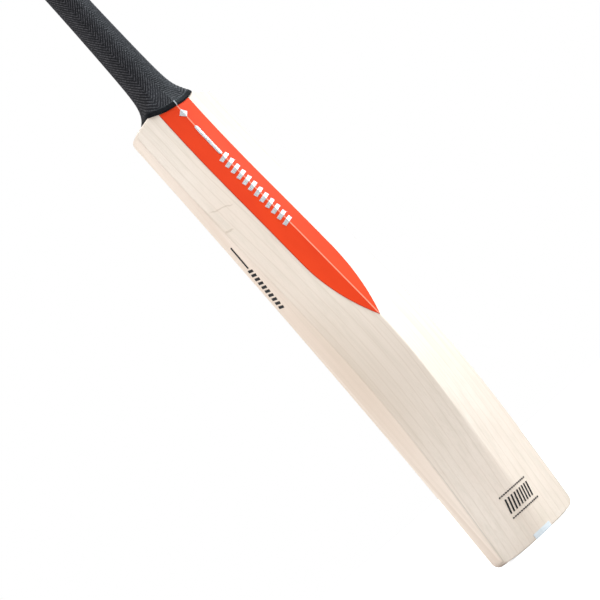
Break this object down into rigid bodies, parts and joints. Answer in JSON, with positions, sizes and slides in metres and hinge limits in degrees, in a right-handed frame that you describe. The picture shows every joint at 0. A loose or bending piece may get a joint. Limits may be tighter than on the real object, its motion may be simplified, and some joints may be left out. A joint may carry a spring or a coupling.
{
  "type": "cricket bat",
  "caption": "Upright cricket bat: bowed willow blade with a ridged spine, cane handle spliced in, flared black rubber grip and a red leaf-shaped spine label.",
  "frame": {"origin": "middle of the flat on the toe", "axes": "+Z runs from the toe to the handle, +Y points out of the striking face, -Y out of the spine, and X runs across the blade"},
  "size_m": [0.1081, 0.0776, 0.8503],
  "materials": {
    "willow": "pale bleached willow, lightly pressed and polished",
    "cane": "laminated cane, sanded",
    "spring_rubber": "thin black rubber sheet",
    "twine": "waxed linen twine, close wound",
    "grip_rubber": "moulded rubber with fine chevron ribs",
    "red_film": "satin red printed film",
    "silver_foil": "silver foil",
    "black_print": "black printed transfer",
    "white_film": "blank white sticker"
  },
  "bodies": {
    "root": {"willow_blade": "willow", "cane_strip_left_outer_rear": "cane", "cane_strip_left_outer_middle": "cane", "cane_strip_left_outer_face": "cane", "cane_strip_left_inner_rear": "cane", "cane_strip_left_inner_middle": "cane", "cane_strip_left_inner_face": "cane", "cane_strip_right_inner_rear": "cane", "cane_strip_right_inner_middle": "cane", "cane_strip_right_inner_face": "cane", "cane_strip_right_outer_rear": "cane", "cane_strip_right_outer_middle": "cane", "cane_strip_right_outer_face": "cane", "rubber_spring_left": "spring_rubber", "rubber_spring_centre": "spring_rubber", "rubber_spring_right": "spring_rubber", "handle_twine": "twine", "rubber_grip": "grip_rubber", "spine_label": "red_film", "spine_label_foil": "silver_foil", "edge_mark": "black_print", "toe_mark": "black_print", "toe_sticker": "white_film"}
  },
  "joints": []
}
